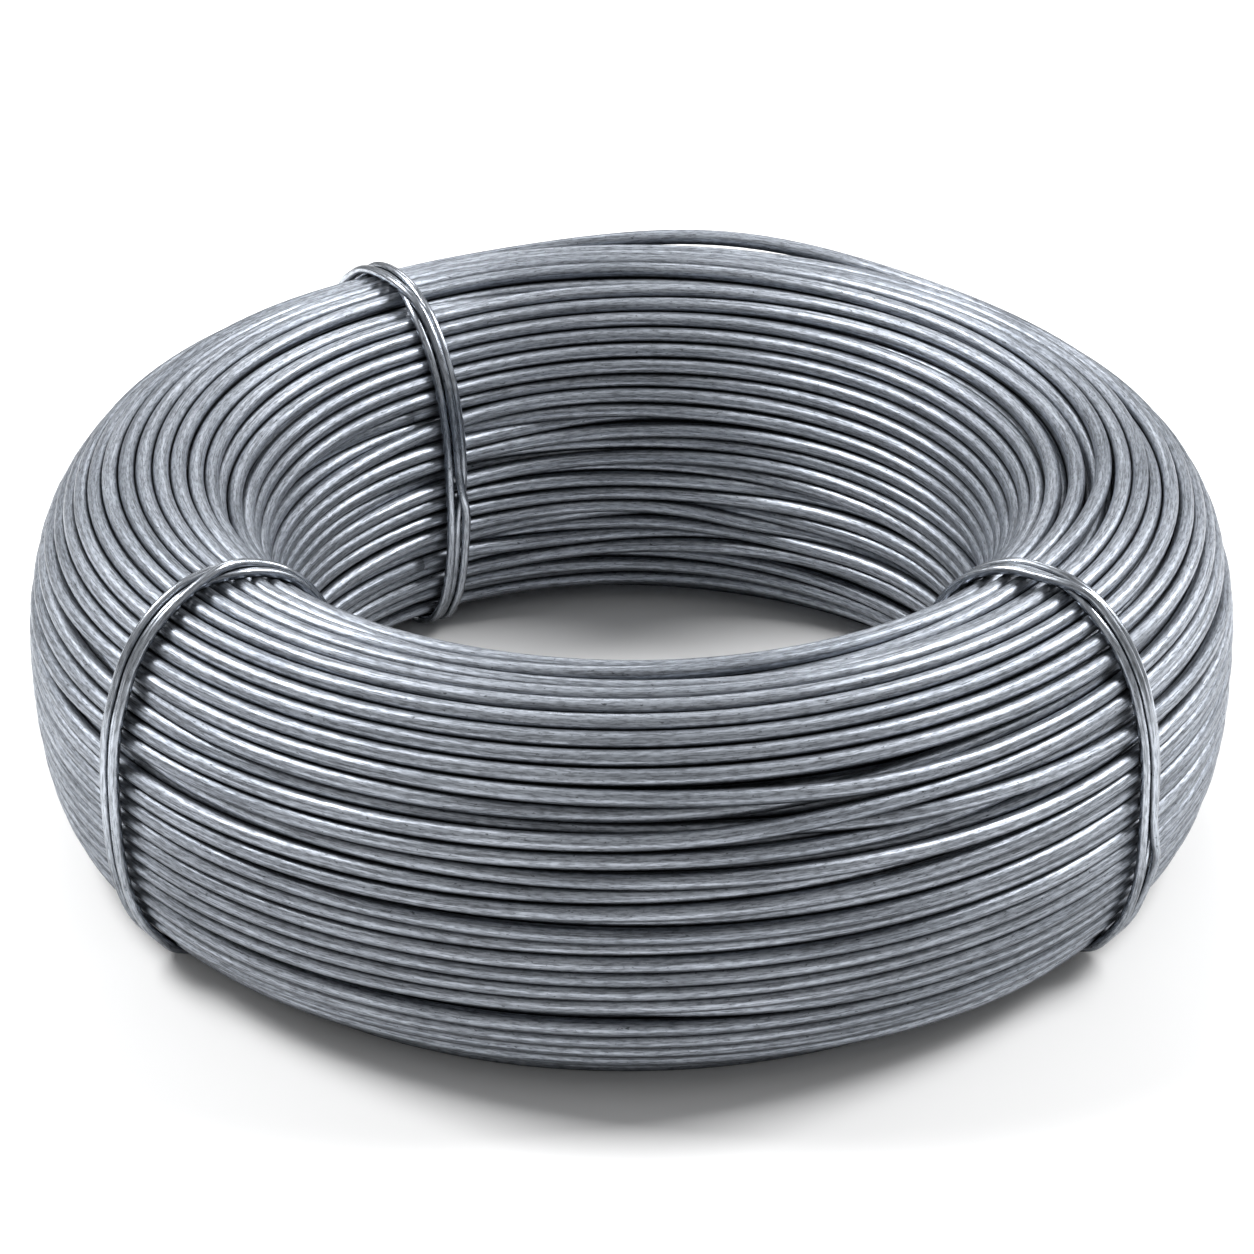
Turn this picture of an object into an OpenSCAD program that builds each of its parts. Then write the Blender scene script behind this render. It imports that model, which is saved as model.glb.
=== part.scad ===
// Coil of steel wire rod, lying on its side face, held together by three tie wires.
// Millimetres, +Z up. The origin is on the floor, on the coil's own axis.

/* [Coil] */
// Diameter over the outermost turns
coil_outer_d = 516; // [400:1:700]
// Clear diameter inside the innermost turns
coil_bore_d = 298; // [200:1:380]
// Height of the coil as it lies
coil_h = 166; // [120:1:240]
// Squareness of the upper half of the section: 2 is an ellipse, 4 is nearly a rectangle
top_squareness = 2.25; // [2:0.05:4]
// Squareness of the lower half of the section
base_squareness = 2.7; // [2:0.05:4]
// How far the coil's weight has flattened the rounded underside
floor_sag = 3; // [0:0.5:8]

/* [Wire rod] */
// Diameter of the wire rod
wire_d = 7; // [5.5:0.1:12]
// Mean free gap between neighbouring turns in the skin
turn_gap = 0.2; // [0.1:0.05:1]
// Depth of the flat that the floor presses on the lowest turns
land_depth = 0.1; // [0.05:0.05:0.3]

/* [Tie wires] */
// Diameter of the tie wire
tie_d = 4; // [3:0.1:7]
// Turns of each tie wire round the section
tie_wraps = 3; // [2:1:4]
// Gap between neighbouring wraps of a tie
wrap_gap = 0.15; // [0.05:0.05:1]
// Gap between a tie and the crests of the turns under it
seat_gap = 0.3; // [0.1:0.1:1]
// Bearing of the tie at the back of the coil, from +X towards +Y
tie_back_bearing = 123; // [90:1:135]
// Bearing of the tie at the left
tie_left_bearing = 217; // [190:1:225]
// Bearing of the tie at the right
tie_right_bearing = 323; // [315:1:345]
// Length of the twist that joins a tie's two ends
twist_length = 28; // [15:1:50]
// Length of one full turn of the twist
twist_lay = 16; // [12:1:40]

/* [Hidden] */

// Fineness of the turned shapes and of each wire's circle in the section
turning_steps = 180;
wire_steps = 48;

wire_r = wire_d / 2;
tie_r = tie_d / 2;
mid_r = (coil_outer_d + coil_bore_d) / 4;
mid_z = coil_h / 2;
half_w = (coil_outer_d - coil_bore_d) / 4;
top_half_h = coil_h / 2;
base_half_h = coil_h / 2 + floor_sag;

// ---- Section outline: two halves of a superellipse, in the radius and height plane ----

function signed_power(x, p) = sign(x) * pow(abs(x), p);

// A point on the outline at parameter angle t, moved outwards by grow
function outline(t, grow) =
    let (n = sin(t) > 0 ? top_squareness : base_squareness)
    let (half_h = sin(t) > 0 ? top_half_h : base_half_h)
    [mid_r + (half_w + grow) * signed_power(cos(t), 2 / n),
     mid_z + (half_h + grow) * signed_power(sin(t), 2 / n)];

// The greater of two heights, with the corner between them rounded off
corner_blend = 4;
function soft_max(a, b) = (a + b + sqrt(pow(a - b, 2) + pow(corner_blend, 2))) / 2;

// The line through the centres of the turns in the skin: level along the floor
function skin_line(t) =
    let (p = outline(t, -wire_r))
    [p.x, max(p.y, wire_r - land_depth)];

// The line that a tie's wire follows: outside the crests, and just clear of the floor below
function tie_line(t) =
    let (p = outline(t, tie_r + seat_gap))
    [p.x, soft_max(p.y, tie_r + seat_gap)];

// Running length along a closed line of points, as [length, index] pairs for lookup()
function running_length(line) =
    [for (i = 0, s = 0; i < len(line);
          s = s + (i + 1 < len(line) ? norm(line[i + 1] - line[i]) : 0), i = i + 1) [s, i]];

outline_steps = 720;
skin_points = [for (i = [0:outline_steps]) skin_line(i * 360 / outline_steps)];
tie_points = [for (i = [0:outline_steps]) tie_line(i * 360 / outline_steps)];
skin_table = running_length(skin_points);
tie_table = running_length(tie_points);
skin_length = skin_table[outline_steps][0];
tie_length = tie_table[outline_steps][0];

// The point at distance s along a closed line that has this running-length table
function wrapped(s, total) = s - total * floor(s / total);
function point_along(line, table, total, s) =
    let (x = lookup(wrapped(s, total), table), i = min(floor(x), outline_steps - 1))
    line[i] + (line[i + 1] - line[i]) * (x - i);

// ---- Wire coil: one turned solid whose skin is the outermost turns ----

skin_turns = floor(skin_length / (wire_d + turn_gap));
skin_centres = [for (k = [0:skin_turns - 1])
    point_along(skin_points, skin_table, skin_length, k * skin_length / skin_turns)];

module coil_section() {
    intersection() {
        union() {
            polygon(skin_centres);
            for (centre = skin_centres)
                translate(centre) circle(d = wire_d, $fn = wire_steps);
        }
        square([coil_outer_d, 2 * coil_h]);
    }
}

// The troughs in the underside where the ties lie between the turns and the floor
bed_steps = 90;
bed_clearance = 0.8 * seat_gap;
bed_w = tie_wraps * (tie_d + wrap_gap) + 2 * (tie_r + bed_clearance);
below = -wire_d;
function bed_edge(i) =
    let (s = tie_length * (0.5 + 0.5 * i / bed_steps))
    let (here = point_along(tie_points, tie_table, tie_length, s))
    here - (tie_r + bed_clearance) * tie_normal(s);

module tie_beds() {
    intersection() {
        rotate_extrude($fn = turning_steps)
            polygon(concat([for (i = [1:bed_steps - 1]) bed_edge(i)],
                           [[bed_edge(bed_steps - 1).x, below], [bed_edge(1).x, below]]));
        for (bearing = [tie_back_bearing, tie_left_bearing, tie_right_bearing])
            rotate(bearing)
                translate([0, -bed_w / 2, 2 * below])
                    cube([coil_outer_d, bed_w, coil_h]);
    }
}

module wire_coil() {
    color("#868d95")
        difference() {
            rotate_extrude($fn = turning_steps) coil_section();
            tie_beds();
        }
}

// ---- Tie wires: each is one wire, wrapped round the section, its ends twisted together ----

// Outward normal of the tie line at distance s along it
function tie_normal(s) =
    let (step = 1)
    let (ahead = point_along(tie_points, tie_table, tie_length, s + step))
    let (behind = point_along(tie_points, tie_table, tie_length, s - step))
    let (along = (ahead - behind) / norm(ahead - behind))
    [along.y, -along.x];

// Places [distance along the tie line, sideways, lift] in space, keeping to the coil's curve
function place(p) =
    let (q = point_along(tie_points, tie_table, tie_length, p[0]) + p[2] * tie_normal(p[0]))
    [sqrt(pow(q.x, 2) - pow(p[1], 2)), p[1], q.y];

wrap_pitch = tie_d + wrap_gap;
band_half_w = tie_wraps / 2 * wrap_pitch;
knot_reach = 4 * tie_d;
knot_lift = 1.3 * tie_d;
crossing_lift = 1.5 * tie_d;
twist_start = band_half_w + 1.75 * tie_d;
twist_r = tie_r + 0.1;
twist_lean = 2.5;
rise_share = 0.55;
ring_spacing = 1.45 * tie_d;
ring_sides = 8;

// One end: lifts off the wraps, crosses over them and runs to the start of the twist
function bezier(a, b, c, d, t) =
    a * pow(1 - t, 3) + b * 3 * t * pow(1 - t, 2) + c * 3 * pow(t, 2) * (1 - t) + d * pow(t, 3);
base_steps = 7;
function end_base(side, knot_at) =
    let (y = -side * band_half_w)
    [for (i = [1:base_steps - 1])
        [knot_at, 0, 0] + bezier([side * knot_reach, y, 0],
                                 [side * rise_share * knot_reach, y, crossing_lift],
                                 [side * twist_r, (y + twist_start) / 2, crossing_lift],
                                 [side * twist_r, twist_start, knot_lift],
                                 i / base_steps)];

// The twisted stretch of one end, leaning in towards the turns along its length
twist_steps = 12;
function end_twist(side, knot_at) =
    [for (i = [0:twist_steps])
        let (run = i * twist_length / twist_steps, turn = 360 * run / twist_lay)
        [knot_at + side * twist_r * cos(turn),
         twist_start + run,
         knot_lift - twist_lean * i / twist_steps + side * twist_r * sin(turn)]];

function reversed(list) = [for (i = [len(list) - 1:-1:0]) list[i]];

// Distance to the next ring: shorter where the tie bends round the coil's lower corners
bend_span = tie_d;
ring_bend = 12;
function bend(s) =
    acos(min(1, tie_normal(s - bend_span / 2) * tie_normal(s + bend_span / 2)));
function sharpest_bend(s) = max([for (i = [0:4]) bend(s + i * ring_spacing / 4)]);
function ring_step(s) =
    min(ring_spacing, max(tie_d / 3, ring_bend * bend_span / max(sharpest_bend(s), 0.1)));

// The whole wire, from one cut end to the other, starting and ending at the knot
wraps_end = tie_wraps * tie_length - knot_reach;
function tie_route(knot_at) =
    concat(reversed(end_twist(1, knot_at)),
           reversed(end_base(1, knot_at)),
           [for (run = knot_reach; run < wraps_end; run = run + ring_step(knot_at + run))
               [knot_at + run, (run / tie_length - tie_wraps / 2) * wrap_pitch, 0]],
           [[knot_at + wraps_end, (wraps_end / tie_length - tie_wraps / 2) * wrap_pitch, 0]],
           end_base(-1, knot_at),
           end_twist(-1, knot_at));

// A round tube swept along a line of points, closed by flat ends
function unit(v) = v / norm(v);
function heading(line, i) = unit(line[min(i + 1, len(line) - 1)] - line[max(i - 1, 0)]);
// Carries a side direction from one ring to the next without twisting it
function carried(line, i, side_on) =
    let (d = heading(line, i)) unit(side_on - (side_on * d) * d);
any_side = [0.1, 0.2, 1];
function side_directions(line) =
    [for (i = 0, v = carried(line, 0, any_side); i < len(line);
          i = i + 1, v = i < len(line) ? carried(line, i, v) : v) v];

module swept_tube(line, r) {
    sides = side_directions(line);
    rings = len(line);
    points = [for (i = [0:rings - 1])
        let (u = sides[i], w = cross(heading(line, i), u))
        for (k = [0:ring_sides - 1])
            let (a = 360 * k / ring_sides)
            line[i] + r * (u * cos(a) + w * sin(a))];
    walls = [for (i = [0:rings - 2], k = [0:ring_sides - 1])
        let (a = i * ring_sides, b = a + ring_sides, next = (k + 1) % ring_sides)
        [a + k, b + k, b + next, a + next]];
    first_end = [for (k = [0:ring_sides - 1]) k];
    last_end = [for (k = [ring_sides - 1:-1:0]) (rings - 1) * ring_sides + k];
    polyhedron(points, concat(walls, [first_end, last_end]), convexity = 10);
}

module tie(bearing, knot_at) {
    route = [for (p = tie_route(knot_at)) place(p)];
    color("#7b828a")
        rotate(bearing)
            swept_tube(route, tie_r);
}

// The knots lie low down: behind the coil on the back tie, and inside the bore on the others
outer_wall = tie_length * 0.93;
bore_wall = tie_length * 0.56;
module tie_back() { tie(tie_back_bearing, outer_wall); }
module tie_left() { tie(tie_left_bearing, bore_wall); }
module tie_right() { tie(tie_right_bearing, bore_wall); }

wire_coil();
tie_back();
tie_left();
tie_right();
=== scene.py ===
"""Coil of steel wire rod with three tie wires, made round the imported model."""
import math

import bpy
import numpy as np
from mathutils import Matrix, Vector


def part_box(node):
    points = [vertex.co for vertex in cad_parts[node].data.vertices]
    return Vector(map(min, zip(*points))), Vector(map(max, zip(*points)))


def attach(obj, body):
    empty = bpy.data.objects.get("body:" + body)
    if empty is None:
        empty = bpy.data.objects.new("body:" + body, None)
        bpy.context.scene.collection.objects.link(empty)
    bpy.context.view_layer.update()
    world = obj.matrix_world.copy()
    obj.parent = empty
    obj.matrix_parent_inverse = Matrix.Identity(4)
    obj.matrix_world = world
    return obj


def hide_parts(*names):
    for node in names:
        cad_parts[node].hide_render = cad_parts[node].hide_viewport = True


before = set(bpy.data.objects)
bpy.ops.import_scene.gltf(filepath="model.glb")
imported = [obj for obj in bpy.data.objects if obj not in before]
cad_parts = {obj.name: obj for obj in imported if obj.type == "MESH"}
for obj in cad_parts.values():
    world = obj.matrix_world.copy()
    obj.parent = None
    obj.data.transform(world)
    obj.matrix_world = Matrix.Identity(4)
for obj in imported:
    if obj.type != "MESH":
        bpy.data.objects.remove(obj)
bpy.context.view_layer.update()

# ---- Sizes, in metres: the coil's from the frame, the gauges as they are stocked ----

ROD_D = 0.007
TIE_D = 0.004
ROD_R = ROD_D / 2
TIE_R = TIE_D / 2

SECTION_W = 0.109
coil_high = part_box("wire_coil")[1]
OUTER_R = coil_high[0]
COIL_H = coil_high[2]
BORE_R = OUTER_R - SECTION_W
FLOOR_SAG = 0.003
TOP_SQUARENESS = 2.25
BASE_SQUARENESS = 2.7
MID_R = (OUTER_R + BORE_R) / 2
MID_Z = COIL_H / 2
HALF_W = (OUTER_R - BORE_R) / 2
MIDDLE = np.array([MID_R, MID_Z])

# Bearings are in degrees, from +X towards +Y. The wire runs that way round, and both its ends
# are close to END_BEARING: one in the core, and one on the underside.
TIE_BEARINGS = {"tie_back": 123, "tie_left": 217, "tie_right": 323}
END_BEARING = 129

# Points along one turn, and sides round each kind of wire
SECTIONS = 144
SKIN_SIDES = 16
CORE_SIDES = 8
TIE_SIDES = 16
SEED = 7

bearings = math.radians(END_BEARING) + 2 * math.pi * np.arange(SECTIONS) / SECTIONS


def deselect():
    """Nothing is selected or active, so the next operator acts on its own piece only."""
    bpy.ops.object.select_all(action="DESELECT")
    bpy.context.view_layer.objects.active = None


# ---- Camera ----

LOOK_DISTANCE = 1.8137
LOOK_ELEVATION = math.radians(28.2)
LENS = 120.3
SENSOR = 36
SHIFT_X = -0.0037
SHIFT_Y = -0.0092


def place_camera():
    """A long lens in front of the coil, looking down on it."""
    deselect()
    back = LOOK_DISTANCE * math.cos(LOOK_ELEVATION)
    up = LOOK_DISTANCE * math.sin(LOOK_ELEVATION)
    bpy.ops.object.camera_add(location=(0, -back, MID_Z + up),
                              rotation=(math.pi / 2 - LOOK_ELEVATION, 0, 0))
    camera = bpy.context.object
    camera.name = "front_camera"
    camera.data.lens = LENS
    camera.data.sensor_width = SENSOR
    camera.data.shift_x = SHIFT_X
    camera.data.shift_y = SHIFT_Y
    camera.data.clip_end = 20
    bpy.context.scene.camera = camera


# ---- Laying the turns: one long wire, wound in layers and let settle against itself ----

OUTLINE_STEPS = 2000
TURN_PITCH = 1.025 * ROD_D
RING_PITCH = 0.8875 * ROD_D
WANDER = 0.0058
WANDER_REACH = SECTIONS / 2.5

# Turns this full or fuller are in the skin. Those in the core may lie a little closer.
SKIN_LEVEL = 0.8
SKIN_SPACING = ROD_D + 0.0002
CORE_SPACING = 0.95 * ROD_D

# Clearance between a tie that passes under the coil and the turns above it
FLOOR_GAP = 0.0002

# The pairs of turns within reach of each other are found again every few rounds
ROUNDS = 240
ROUNDS_PER_LOOK = 12
LOOK_REACH = ROD_D + 0.003
PUSH = 0.36
# How often the wire is straightened in each round, up to each share of the rounds
STRAIGHTENING = [(0.5, 36), (0.8, 30), (0.9, 20), (1.0, 8)]

# Half the width of the stretch that a tie squeezes and lifts off the floor, in degrees, and how
# far it draws the turns in
TIE_WIDTH = 7
TIE_SQUEEZE = 0.0006

# The turn that stands loose on the far top rim: its middle, half its length in degrees, its rise
LOOSE_BEARING = 79
LOOSE_REACH = 15
LOOSE_RISE = 0.0076


def fullness(points, inset):
    """1 on the coil's outline drawn in by inset, less inside it."""
    upper = points[:, 1] > MID_Z
    power = np.where(upper, TOP_SQUARENESS, BASE_SQUARENESS)
    half_h = np.where(upper, COIL_H / 2, COIL_H / 2 + FLOOR_SAG) - inset
    across = np.abs((points[:, 0] - MID_R) / (HALF_W - inset))
    along = np.abs((points[:, 1] - MID_Z) / half_h)
    return (across ** power + along ** power) ** (1 / power)


def running_length(line):
    """How far along the line each of its points is."""
    return np.concatenate([[0], np.cumsum(np.linalg.norm(np.diff(line, axis=0), axis=1))])


def ring_of_slots(inset):
    """Evenly spaced places along the outline drawn in by inset, from the underside round."""
    t = 2 * math.pi * np.arange(OUTLINE_STEPS) / OUTLINE_STEPS - math.pi / 2
    power = np.where(np.sin(t) > 0, TOP_SQUARENESS, BASE_SQUARENESS)
    half_h = np.where(np.sin(t) > 0, COIL_H / 2, COIL_H / 2 + FLOOR_SAG) - inset
    r = MID_R + (HALF_W - inset) * np.sign(np.cos(t)) * np.abs(np.cos(t)) ** (2 / power)
    z = MID_Z + half_h * np.sign(np.sin(t)) * np.abs(np.sin(t)) ** (2 / power)
    line = np.stack([r, np.maximum(z, inset)], axis=1)
    line = np.concatenate([line, line[:1]])
    run = running_length(line)
    count = int(run[-1] / TURN_PITCH)
    at = run[-1] * (np.arange(count) + 0.5) / count
    return np.stack([np.interp(at, run, line[:, i]) for i in range(2)], axis=1)


def winding_slots():
    """The turns' places in one section, in winding order: ring by ring, from the core outwards."""
    rings = []
    inset = ROD_R
    while HALF_W - inset > 0.2 * TURN_PITCH:
        rings.append(ring_of_slots(inset))
        inset += RING_PITCH
    return np.concatenate(rings[::-1])


def smooth_wander(rng, count, reach, amount):
    """Gentle random sideways drift along the wire."""
    half = int(3 * reach)
    bell = np.exp(-0.5 * (np.arange(-half, half + 1) / reach) ** 2)
    bell /= math.sqrt((bell ** 2).sum())
    raw = rng.normal(size=(count, 2))
    return amount * np.stack([np.convolve(raw[:, i], bell, "same") for i in range(2)], axis=1)


def near_ties():
    """1 at the bearing of each tie, falling to 0 within a few widths of it."""
    total = np.zeros(SECTIONS)
    for bearing in TIE_BEARINGS.values():
        away = np.angle(np.exp(1j * (bearings - math.radians(bearing))))
        total += np.exp(-0.5 * (away / math.radians(TIE_WIDTH)) ** 2)
    return np.clip(1.3 * total, 0, 1)


def touching_pairs(chain, reach):
    """Indices of the stretches of wire that lie within reach of each other, section by section."""
    rows = -(-len(chain) // SECTIONS)
    sections = np.full((rows * SECTIONS, 2), np.nan)
    sections[:len(chain)] = chain
    sections = sections.reshape(rows, SECTIONS, 2)
    first, second = [], []
    for s in range(SECTIONS):
        here = sections[:, s]
        gap = ((here[:, None] - here[None]) ** 2).sum(-1)
        a, b = np.nonzero(np.triu(gap < reach * reach, 1))
        first.append(a * SECTIONS + s)
        second.append(b * SECTIONS + s)
    return np.concatenate(first), np.concatenate(second)


def push_apart(chain, first, second, spacing):
    """One step away from each other for the turns that are too close.

    Where two turns cross, the later one passes over the earlier one.
    """
    apart = chain[first] - chain[second]
    distance = np.sqrt((apart ** 2).sum(1)) + 1e-9
    outward = chain[second] - MIDDLE
    outward /= np.sqrt((outward ** 2).sum(1))[:, None]
    crossing = np.clip(1.8 - 2 * distance / ROD_D, 0, 1)
    push = np.maximum(0, spacing - distance) * PUSH * (1 + crossing)
    crossing = crossing[:, None]
    force = ((1 - crossing) * apart / distance[:, None] - crossing * outward) * push[:, None]
    count = len(chain)
    for i in range(2):
        gained = np.bincount(first, force[:, i], count)
        chain[:, i] += gained - np.bincount(second, force[:, i], count)


def settle_turns():
    """Winds the wire and lets the turns push each other apart inside the coil's outline."""
    rng = np.random.default_rng(SEED)
    slots = winding_slots()
    slots = np.concatenate([slots, slots[-1:]])
    part = (np.arange(SECTIONS) / SECTIONS)[None, :, None]
    chain = (slots[:-1, None] * (1 - part) + slots[1:, None] * part).reshape(-1, 2)
    chain = chain + smooth_wander(rng, len(chain), WANDER_REACH, WANDER)

    lift = near_ties()[np.arange(len(chain)) % SECTIONS]
    floor_line = ROD_R + (TIE_D + FLOOR_GAP) * lift
    inset = ROD_R + TIE_SQUEEZE * lift
    for step in range(ROUNDS):
        if step % ROUNDS_PER_LOOK == 0:
            first, second = touching_pairs(chain, LOOK_REACH)
            level = fullness(chain, ROD_R)
            in_skin = np.maximum(level[first], level[second]) > SKIN_LEVEL
            spacing = np.where(in_skin, SKIN_SPACING, CORE_SPACING)
        push_apart(chain, first, second, spacing)
        passes = next(count for until, count in STRAIGHTENING if step < until * ROUNDS)
        for _ in range(passes):
            chain[1:-1] += 0.5 * (0.5 * (chain[:-2] + chain[2:]) - chain[1:-1])
        over = np.maximum(fullness(chain, inset), 1)
        chain = MIDDLE + (chain - MIDDLE) / over[:, None]
        chain[:, 1] = np.maximum(chain[:, 1], floor_line)
    return chain


def nearest_section(bearing):
    """The section of the coil at a bearing in degrees."""
    beyond = (math.radians(bearing) - bearings[0]) % (2 * math.pi)
    return int(round(beyond / (2 * math.pi) * SECTIONS))


def lift_loose_turn(chain):
    """The outermost turn on the far top rim stands away from its neighbours for a hand's length."""
    view_up = np.array([math.sin(LOOK_ELEVATION), math.cos(LOOK_ELEVATION)])
    there = np.arange(nearest_section(LOOSE_BEARING), len(chain), SECTIONS)
    middle = there[np.argmax(chain[there] @ view_up)]
    away = (np.arange(len(chain)) - middle) * 360 / SECTIONS
    swell = np.exp(-0.5 * (away / LOOSE_REACH) ** 2)
    return chain + LOOSE_RISE * swell[:, None] * view_up


# ---- Drawing a wire: a round tube along a line, with its own lengthwise coordinates ----

def headings(line):
    """The direction of the line at each of its points."""
    ahead = np.gradient(line, axis=0)
    return ahead / np.linalg.norm(ahead, axis=1)[:, None]


def carried_sides(line, first):
    """A sideways direction at each point, carried along the line without twisting round it."""
    ahead = headings(line)
    sides = [first]
    for d in ahead:
        v = sides[-1] - (sides[-1] @ d) * d
        sides.append(v / np.linalg.norm(v))
    return np.array(sides[1:])


def ring_directions(ahead, up, sides):
    """Outward directions round each point of a line with these headings: (points, sides, 3)."""
    up = up - (up * ahead).sum(1)[:, None] * ahead
    up /= np.linalg.norm(up, axis=1)[:, None]
    across = np.cross(ahead, up)
    angle = 2 * math.pi * np.arange(sides) / sides
    turned = np.cos(angle)[None, :, None] * across[:, None]
    return turned + np.sin(angle)[None, :, None] * up[:, None]


# How quickly the painted shade beside a neighbour falls off round the wire
CONTACT_SHADE_FALLOFF = 0.11


def paint_contact_shade(directions, index, towards, weight):
    """How closely each ring point faces a neighbour, painted as shade: 1 at a touching one, falling
    off round it.
    """
    facing = np.einsum("psk,pk->ps", directions[index], towards)
    value = weight[:, None] * np.exp((facing - 1) / CONTACT_SHADE_FALLOFF)
    painted_contact_shade = np.zeros(directions.shape[:2])
    np.maximum.at(painted_contact_shade, index, value)
    return painted_contact_shade


def tube(line, directions, radius, start, painted_contact_shade):
    """Ring points, quads, each point's own place on the wire, and its painted shade beside
    neighbours and underneath.
    """
    count, sides = directions.shape[:2]
    points = (line[:, None] + radius * directions).reshape(-1, 3)
    run = start + running_length(line)
    angle = 2 * math.pi * np.arange(sides) / sides
    own = np.stack([np.tile(radius * np.cos(angle), count),
                    np.tile(radius * np.sin(angle), count),
                    np.repeat(run, sides)], axis=1)
    a = np.arange(count - 1)[:, None] * sides + np.arange(sides)[None]
    b = np.arange(count - 1)[:, None] * sides + (np.arange(sides)[None] + 1) % sides
    quads = np.stack([a, b, b + sides, a + sides], axis=-1).reshape(-1, 4)
    # Painted shade: how far each ring point faces downwards
    under = np.clip(-directions[:, :, 2], 0, 1)
    return {"points": points, "quads": quads, "own": own, "sides": sides, "end": run[-1],
            "painted_contact_shade": painted_contact_shade.ravel(), "under": under.ravel()}


def wire_object(name, tubes, material, node):
    """One mesh object from several tubes, smooth along their sides and closed by flat ends."""
    points, faces, smooth, base = [], [], [], 0
    for part in tubes:
        points.append(part["points"])
        faces += (part["quads"] + base).tolist()
        smooth += [True] * len(part["quads"]) + [False, False]
        sides = part["sides"]
        last = base + len(part["points"]) - sides
        faces.append([base + i for i in range(sides - 1, -1, -1)])
        faces.append([last + i for i in range(sides)])
        base += len(part["points"])
    mesh = bpy.data.meshes.new(name)
    mesh.from_pydata(np.concatenate(points).tolist(), [], faces)
    place = mesh.attributes.new("wire_place", "FLOAT_VECTOR", "POINT")
    place.data.foreach_set("vector", np.concatenate([part["own"] for part in tubes]).ravel())
    # Layers of painted shade: beside neighbours, and on the downward-facing sides
    for layer in ("painted_contact_shade", "under"):
        values = mesh.attributes.new(layer, "FLOAT", "POINT")
        values.data.foreach_set("value", np.concatenate([part[layer] for part in tubes]))
    mesh.polygons.foreach_set("use_smooth", smooth)
    mesh.materials.append(material)
    piece = bpy.data.objects.new(name, mesh)
    bpy.context.collection.objects.link(piece)
    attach(piece, "root")
    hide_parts(node)


# ---- Finishes ----

def streaked_steel(name, rough, dull, bright):
    """Drawn steel: fine dashes and longer lines along the wire, slow tones, painted shade in the
    nooks and underneath.
    """
    material = bpy.data.materials.new(name)
    material.use_nodes = True
    nodes, links = material.node_tree.nodes, material.node_tree.links
    shader = nodes["Principled BSDF"]
    shader.inputs["Metallic"].default_value = 1.0
    place = nodes.new("ShaderNodeAttribute")
    place.attribute_name = "wire_place"

    def noise(across, along, detail, roughness=0.6):
        stretch = nodes.new("ShaderNodeMapping")
        stretch.inputs["Scale"].default_value = (across, across, along)
        links.new(place.outputs["Vector"], stretch.inputs["Vector"])
        grain = nodes.new("ShaderNodeTexNoise")
        grain.inputs["Scale"].default_value = 1.0
        grain.inputs["Detail"].default_value = detail
        grain.inputs["Roughness"].default_value = roughness
        links.new(stretch.outputs["Vector"], grain.inputs["Vector"])
        return grain.outputs["Fac"]

    def layer(attribute):
        node = nodes.new("ShaderNodeAttribute")
        node.attribute_name = attribute
        return node.outputs["Fac"]

    def ramp(source, stops):
        node = nodes.new("ShaderNodeValToRGB")
        elements = node.color_ramp.elements
        while len(elements) < len(stops):
            elements.new(0.5)
        for element, (at, value) in zip(elements, stops):
            element.position = at
            element.color = (*value, 1) if isinstance(value, tuple) else (value, value, value, 1)
        links.new(source, node.inputs["Fac"])
        return node.outputs["Color"]

    def multiply(one, two):
        node = nodes.new("ShaderNodeMix")
        node.data_type = "RGBA"
        node.blend_type = "MULTIPLY"
        node.inputs["Factor"].default_value = 1.0
        links.new(one, node.inputs["A"])
        links.new(two, node.inputs["B"])
        return node.outputs["Result"]

    # Cells per metre across the wire and along it, and the noise's detail
    dashes = noise(1700, 210, 3)
    lines = noise(900, 20, 3)
    tone = noise(60, 6, 2)
    pits = noise(900, 350, 2)
    colour = ramp(tone, [(0.32, dull), (0.68, bright)])
    colour = multiply(colour, ramp(dashes, [(0.38, 0.58), (0.50, 0.94), (0.60, 1.16)]))
    colour = multiply(colour, ramp(lines, [(0.38, 0.62), (0.49, 0.95), (0.62, 1.15)]))
    colour = multiply(colour, ramp(pits, [(0.27, 0.35), (0.34, 1.0)]))
    # Painted shade: darker where a wire faces a touching neighbour, and on its downward-facing
    # sides
    colour = multiply(colour, ramp(layer("painted_contact_shade"), [(0.10, 1.0), (0.55, 0.35), (1.0, 0.10)]))
    colour = multiply(colour, ramp(layer("under"), [(0.0, 1.0), (0.6, 0.54), (1.0, 0.40)]))
    links.new(colour, shader.inputs["Base Color"])
    links.new(ramp(lines, [(0.36, rough + 0.10), (0.64, rough - 0.05)]), shader.inputs["Roughness"])

    height = nodes.new("ShaderNodeMath")
    height.operation = "ADD"
    links.new(dashes, height.inputs[0])
    links.new(lines, height.inputs[1])
    bump = nodes.new("ShaderNodeBump")
    bump.inputs["Strength"].default_value = 0.5
    bump.inputs["Distance"].default_value = 0.00012
    links.new(height.outputs["Value"], bump.inputs["Height"])
    links.new(bump.outputs["Normal"], shader.inputs["Normal"])
    return material


rod_steel = streaked_steel("rod_steel", 0.46,
                           dull=(0.28, 0.305, 0.345), bright=(0.41, 0.44, 0.49))
tie_steel = streaked_steel("tie_steel", 0.25,
                           dull=(0.38, 0.41, 0.455), bright=(0.52, 0.555, 0.61))


# ---- The coil ----

# A turn is drawn round and fine when it is this full anywhere, so that it can be seen
SHOWN_LEVEL = 0.86
RUN_TURNS = 15
PIECE_TRIANGLES = 185000
# Neighbours nearer than this get painted shade on each other's sides
NEAR = 1.3 * ROD_D


def in_space(chain):
    """The wire's centre line, from points in its section."""
    angle = bearings[np.arange(len(chain)) % SECTIONS]
    return np.stack([chain[:, 0] * np.cos(angle), chain[:, 0] * np.sin(angle), chain[:, 1]], axis=1)


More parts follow.
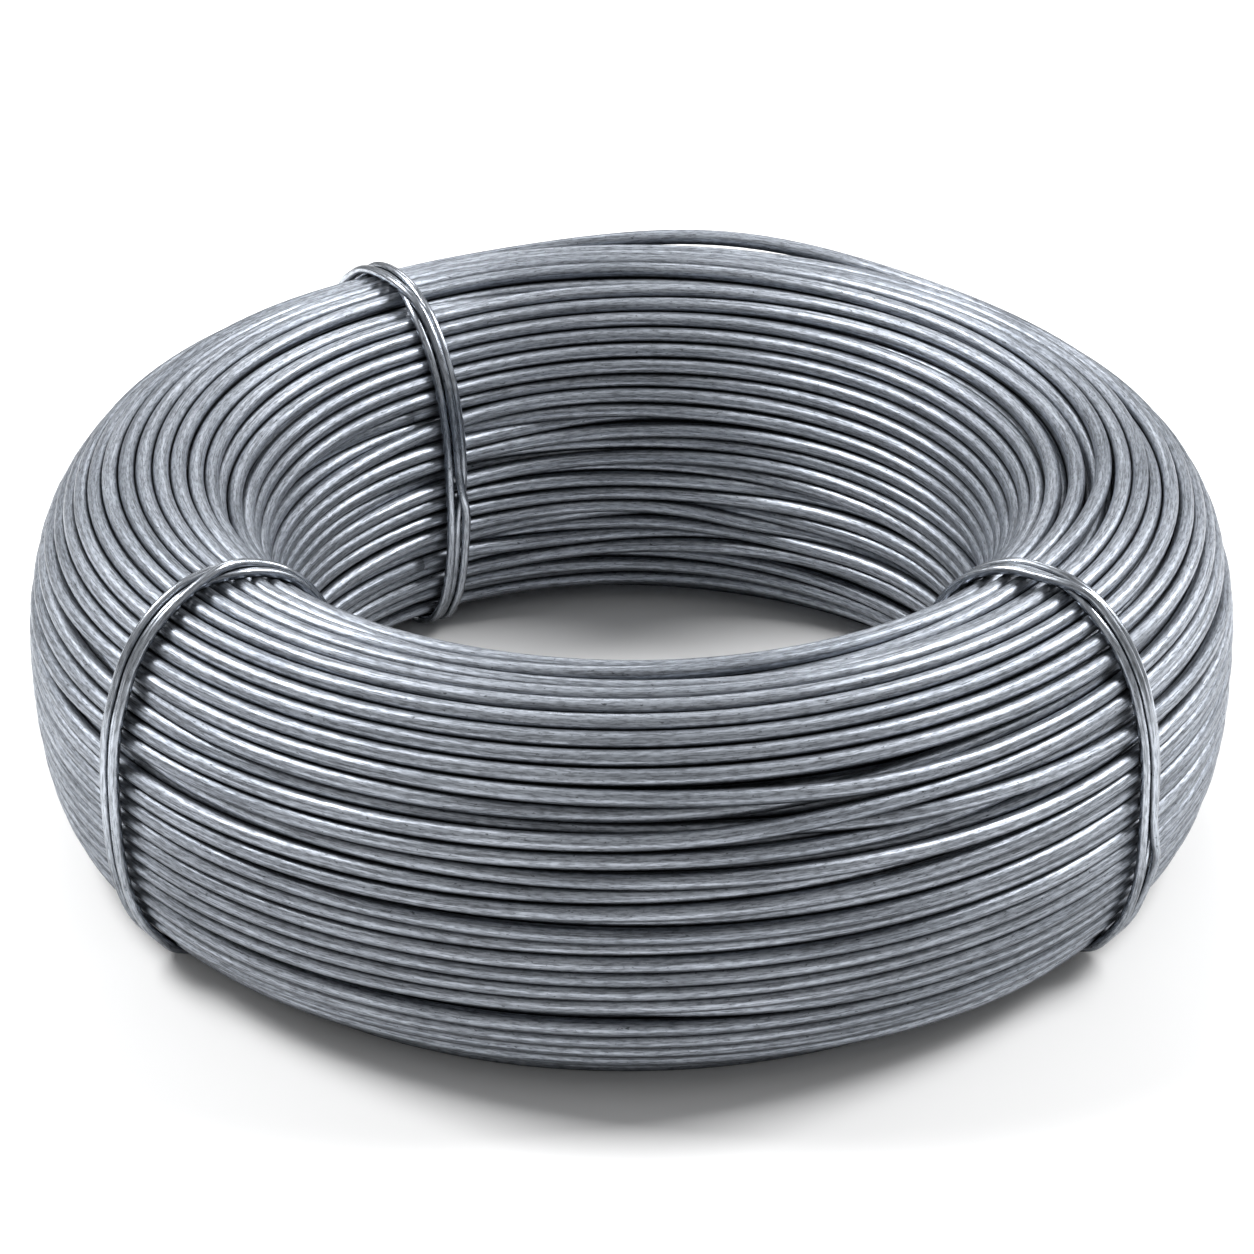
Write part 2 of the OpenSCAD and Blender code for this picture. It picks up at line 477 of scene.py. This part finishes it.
def neighbours(chain, first, second):
    """For each stretch, the direction in space to each neighbour, and how near that one is."""
    index = np.concatenate([first, second])
    flat = np.concatenate([chain[second] - chain[first], chain[first] - chain[second]])
    distance = np.sqrt((flat ** 2).sum(1))
    angle = bearings[index % SECTIONS]
    towards = np.stack([flat[:, 0] * np.cos(angle), flat[:, 0] * np.sin(angle), flat[:, 1]], axis=1)
    weight = np.clip((NEAR - distance) / (NEAR - ROD_D), 0, 1)
    order = np.argsort(index, kind="stable")
    return index[order], (towards / distance[:, None])[order], weight[order]


def runs_of_turns(chain):
    """The wire in runs of whole turns, as (first point, last point, shown)."""
    level = fullness(chain, ROD_R)
    starts = np.arange(0, len(chain), SECTIONS)
    shown = [level[at:at + SECTIONS].max() > SHOWN_LEVEL for at in starts]
    runs, first = [], 0
    while first < len(starts):
        last = first
        for turn in range(first + 1, min(first + RUN_TURNS, len(starts))):
            if shown[turn] != shown[first]:
                break
            last = turn
        runs.append((first * SECTIONS, min((last + 1) * SECTIONS + 1, len(chain)), shown[first]))
        first = last + 1
    return runs


def build_coil(chain):
    """The wire, in pieces of a few runs each: rounder tubes where it shows."""
    line = in_space(chain)
    ahead = headings(line)
    index, towards, weight = neighbours(chain, *touching_pairs(chain, NEAR))
    upright = np.array([[0.0, 0.0, 1.0]])
    batches, batch, size, run = [], [], 0, 0.0
    for begin, stop, seen in runs_of_turns(chain):
        step, sides = (1, SKIN_SIDES) if seen else (2, CORE_SIDES)
        directions = ring_directions(ahead[begin:stop:step], upright, sides)
        # Painted shade where a shown turn faces a touching neighbour
        painted_contact_shade = np.zeros(directions.shape[:2])
        if seen:
            a, b = np.searchsorted(index, [begin, stop])
            painted_contact_shade = paint_contact_shade(directions, index[a:b] - begin, towards[a:b], weight[a:b])
        part = tube(line[begin:stop:step], directions, ROD_R, run, painted_contact_shade)
        run = part["end"]
        triangles = 2 * len(part["quads"])
        if size + triangles > PIECE_TRIANGLES:
            batches.append(batch)
            batch, size = [], 0
        batch.append(part)
        size += triangles
    batches.append(batch)
    for number, batch in enumerate(batches):
        wire_object(f"wire_turns_{number + 1}", batch, rod_steel, "wire_coil")


# ---- The ties: each is one wire, wrapped three times, its ends twisted together ----

WRAPS = 3
CLEAR = 0.0001
FINE_STEPS = 2160
STRAND_STEP = 0.0022
LANE = TIE_D + 0.00015
KNOT_REACH = 4 * TIE_D
TWIST_START = LANE + 1.9 * TIE_D
TWIST_LENGTH = 0.028
TWIST_LAY = 0.016
TWIST_R = TIE_R + CLEAR

# The strands' slow sideways sway, and how they are kept apart
SWAY_REACH = 9
SWAY = 0.0004
STRAND_ROUNDS = 60
STRAND_PUSH = 0.45
STRAND_STRAIGHTENING = 0.3

# Strands nearer than this get painted shade on each other's sides, and a strand that is no higher
# above the turns below than this gets painted shade on its side facing them
TIE_NEAR = 1.25 * TIE_D
SHADE_HEIGHT = 0.002
# Stretches of one strand closer than this along it aren't its neighbours
OWN_STRETCH = 12

# Places round the section run from the outermost point over the top, as shares of a lap. For each
# tie: its knot, how the bundle of three strands rolls over (degrees), and where it lies flat.
TIE_LAYS = {
    "tie_back": (0.93, [(0.93, 30), (1.22, 30), (1.36, 90), (1.45, 90), (1.56, 150), (1.93, 150)],
                 [(0.93, 1), (0.97, 1), (1.06, 0.6), (1.64, 0.6), (1.70, 1), (1.93, 1)]),
    "tie_left": (0.56, [(0.56, 30), (1.18, 30), (1.30, 90), (1.38, 90), (1.50, 150), (1.56, 150)],
                 [(0.56, 1), (0.83, 1), (0.91, 0.7), (1.18, 0.6), (1.46, 0.7), (1.52, 1),
                  (1.56, 1)]),
    "tie_right": (0.56, [(0.56, 30), (0.90, 30), (1.00, 90), (1.14, 90), (1.27, 150), (1.56, 150)],
                  [(0.56, 1), (0.83, 1), (0.90, 0.6), (1.20, 0.75), (1.46, 0.7), (1.52, 1),
                   (1.56, 1)]),
}


def tie_line(chain, bearing):
    """The line that a taut tie wire follows round the section, outside the turns near it."""
    middle = nearest_section(bearing)
    close = [np.arange((middle + shift) % SECTIONS, len(chain), SECTIONS) for shift in (-1, 0, 1)]
    turns = chain[np.concatenate(close)]
    facing = 2 * math.pi * np.arange(FINE_STEPS) / FINE_STEPS
    outward = np.stack([np.cos(facing), np.sin(facing)], axis=1)
    corners = turns[np.argmax(turns @ outward.T, axis=0)]
    line = corners + (ROD_R + TIE_R + CLEAR) * outward
    line[:, 1] = np.maximum(line[:, 1], TIE_R + CLEAR)
    line = np.concatenate([line, line[:1]])
    run = running_length(line)
    count = int(run[-1] / STRAND_STEP)
    at = run[-1] * np.arange(count) / count
    line = np.stack([np.interp(at, run, line[:, i]) for i in range(2)], axis=1)
    for _ in range(3):
        line = 0.5 * line + 0.25 * (np.roll(line, 1, axis=0) + np.roll(line, -1, axis=0))
    start = int(np.argmax(line[:, 0] - 0.2 * np.abs(line[:, 1] - MID_Z)))
    return np.roll(line, -start, axis=0), run[-1]


def eased(place, keys):
    """A value that eases from key to key."""
    at = np.array([key[0] for key in keys])
    value = np.array([key[1] for key in keys], dtype=float)
    slot = np.clip(np.searchsorted(at, place, side="right") - 1, 0, len(at) - 2)
    part = np.clip((place - at[slot]) / (at[slot + 1] - at[slot]), 0, 1)
    return value[slot] + (value[slot + 1] - value[slot]) * part * part * (3 - 2 * part)


def lay_strands(place, roll_keys, flat_keys, rng):
    """The three strands' places across and up in the bundle, one after another along the wire."""
    roll = eased(place, roll_keys)
    flat = eased(place, flat_keys)
    angle = np.radians(roll[None] + 120 * np.arange(WRAPS)[:, None])
    radius = LANE / math.sqrt(3)
    side_flat = LANE * np.cos(angle) / math.cos(math.radians(30))
    side = (1 - flat) * radius * np.cos(angle) + flat * side_flat
    height = radius * (np.sin(angle) - np.sin(angle).min(axis=0)) * (1 - flat)
    strands = np.stack([side, height], axis=-1).reshape(-1, 2)
    sway = smooth_wander(rng, len(strands), SWAY_REACH, SWAY)
    strands[:, 0] += sway[:, 0] * np.tile(1 - flat, WRAPS)
    count = len(place)
    for _ in range(STRAND_ROUNDS):
        grid = strands.reshape(WRAPS, count, 2)
        for a, b in ((0, 1), (1, 2), (0, 2)):
            apart = grid[a] - grid[b]
            distance = np.linalg.norm(apart, axis=1)[:, None] + 1e-9
            push = np.maximum(0, LANE - distance) / distance * STRAND_PUSH * apart
            grid[a] += push
            grid[b] -= push
        grid[:, :, 1] = np.maximum(grid[:, :, 1], 0)
        strands = grid.reshape(-1, 2)
        bend = 0.5 * (strands[:-2] + strands[2:]) - strands[1:-1]
        strands[1:-1] += STRAND_STRAIGHTENING * bend
    return strands


KNOT_RISE = 1.2 * TIE_D
TWIST_LEAN = 0.002
TWIST_STEP = 0.0013


def knot_end(side, height):
    """One end at the knot, from its lane to its tip: (places along the lap, across, up)."""
    t = (np.arange(1, 12) / 12)[:, None]
    a = np.array([side * KNOT_REACH, LANE, height])
    b = np.array([side * 0.35 * KNOT_REACH, LANE, 0.2 * TIE_D + height])
    c = np.array([side * TWIST_R, 0.5 * (LANE + TWIST_START), KNOT_RISE])
    d = np.array([side * TWIST_R, TWIST_START, KNOT_RISE])
    base = a * (1 - t) ** 3 + 3 * b * t * (1 - t) ** 2 + 3 * c * t ** 2 * (1 - t) + d * t ** 3
    run = np.arange(0, TWIST_LENGTH, TWIST_STEP)
    turn = 2 * math.pi * run / TWIST_LAY
    up = KNOT_RISE - TWIST_LEAN * run / TWIST_LENGTH + side * TWIST_R * np.sin(turn)
    twist = np.stack([side * TWIST_R * np.cos(turn), TWIST_START + run, up], axis=1)
    return np.concatenate([base, twist])


def build_tie(name, chain, rng):
    """One tie wire, from tip to tip: a twisted end, the wraps, and the other twisted end."""
    bearing = TIE_BEARINGS[name]
    knot, roll_keys, flat_keys = TIE_LAYS[name]
    line, length = tie_line(chain, bearing)
    count = len(line)
    lap = knot + np.arange(count) / count
    strands = lay_strands(lap, roll_keys, flat_keys, rng)
    along = knot * length + length / count * np.arange(WRAPS * count)
    reach = int(KNOT_REACH / STRAND_STEP)
    first = knot_end(1, strands[reach, 1]) + [along[0], 0, 0]
    last = knot_end(-1, strands[-reach, 1]) + [along[0] + WRAPS * length, 0, 0]
    body = np.column_stack([along, strands])[reach:-reach]
    route = np.concatenate([first[::-1], body, last])

    tangent = np.roll(line, -1, axis=0) - np.roll(line, 1, axis=0)
    tangent /= np.linalg.norm(tangent, axis=1)[:, None]
    normal = np.stack([tangent[:, 1], -tangent[:, 0]], axis=1)
    at = route[:, 0] / length * count
    wide = np.arange(-count, 5 * count)
    base = np.stack([np.interp(at, wide, line[wide % count, i]) for i in range(2)], axis=1)
    out = np.stack([np.interp(at, wide, normal[wide % count, i]) for i in range(2)], axis=1)
    flat = base + route[:, 2:] * out
    flat[:, 1] = np.maximum(flat[:, 1], TIE_R + CLEAR)
    turn = math.radians(bearing)
    radial = np.sqrt(flat[:, 0] ** 2 - route[:, 1] ** 2)
    points = np.stack([radial * math.cos(turn) - route[:, 1] * math.sin(turn),
                       radial * math.sin(turn) + route[:, 1] * math.cos(turn), flat[:, 1]], axis=1)
    inward = -np.stack([out[:, 0] * math.cos(turn), out[:, 0] * math.sin(turn), out[:, 1]], axis=1)

    sideways = carried_sides(points, np.array([0.3, 0.2, 1.0]))
    directions = ring_directions(headings(points), sideways, TIE_SIDES)
    gap = np.linalg.norm(points[:, None] - points[None], axis=2)
    apart = np.abs(np.arange(len(points))[:, None] - np.arange(len(points))[None])
    a, b = np.nonzero((gap < TIE_NEAR) & (apart > OWN_STRETCH))
    # Painted shade where strands touch each other and where a strand lies low on the turns
    near = np.clip((TIE_NEAR - gap[a, b]) / (0.2 * TIE_D), 0, 1)
    index = np.concatenate([a, np.arange(len(points))])
    towards = np.concatenate([(points[b] - points[a]) / gap[a, b][:, None], inward])
    weight = np.concatenate([near, np.exp(-route[:, 2] / SHADE_HEIGHT)])
    painted_contact_shade = paint_contact_shade(directions, index, towards, weight)
    part = tube(points, directions, TIE_R, 0.0, painted_contact_shade)
    wire_object(name + "_wire", [part], tie_steel, name)


# ---- Studio ----

FLOOR_SIDE = 12
FLOOR_GREY = (0.93, 0.93, 0.93, 1)
AIR_STRENGTH = 0.38

# Soft lights: direction from the coil's middle, distance, width and height, power
SOFTBOXES = {
    "left_box": ((-0.62, 0.15, 0.75), 2.2, (0.7, 0.9), 48),
    "right_box": ((0.64, 0.15, 0.72), 2.2, (0.7, 0.9), 43),
    "back_box": ((0.0, 0.75, 0.66), 2.4, (1.2, 0.5), 10),
    "back_right_box": ((0.8, 0.45, 0.38), 2.2, (0.7, 0.5), 6),
}


def add_softbox(name, direction, distance, size, power):
    """A soft light, square to the coil's middle, in the given direction from it."""
    deselect()
    way = Vector(direction).normalized()
    bpy.ops.object.light_add(type="AREA", location=Vector((0, 0, MID_Z)) + way * distance)
    light = bpy.context.object
    light.name = name
    light.data.shape = "RECTANGLE"
    light.data.size, light.data.size_y = size
    light.data.energy = power
    light.rotation_euler = way.to_track_quat("Z", "Y").to_euler()


def build_studio():
    """A plain pale floor, even white air, and the soft lights."""
    deselect()
    bpy.ops.mesh.primitive_plane_add(size=FLOOR_SIDE, location=(0, 0, 0))
    floor = bpy.context.object
    floor.name = "studio_floor"
    paint = bpy.data.materials.new("floor_paint")
    paint.use_nodes = True
    shader = paint.node_tree.nodes["Principled BSDF"]
    shader.inputs["Base Color"].default_value = FLOOR_GREY
    shader.inputs["Roughness"].default_value = 0.9
    floor.data.materials.append(paint)
    world = bpy.data.worlds.new("studio_air")
    world.use_nodes = True
    air = world.node_tree.nodes["Background"]
    air.inputs["Color"].default_value = (1, 1, 1, 1)
    air.inputs["Strength"].default_value = AIR_STRENGTH
    bpy.context.scene.world = world
    bpy.context.scene.view_settings.view_transform = "Standard"
    for name, box in SOFTBOXES.items():
        add_softbox(name, *box)


place_camera()
chain = lift_loose_turn(settle_turns())
build_coil(chain)
tie_rng = np.random.default_rng(SEED + 1)
for tie_name in TIE_BEARINGS:
    build_tie(tie_name, chain, tie_rng)
build_studio()
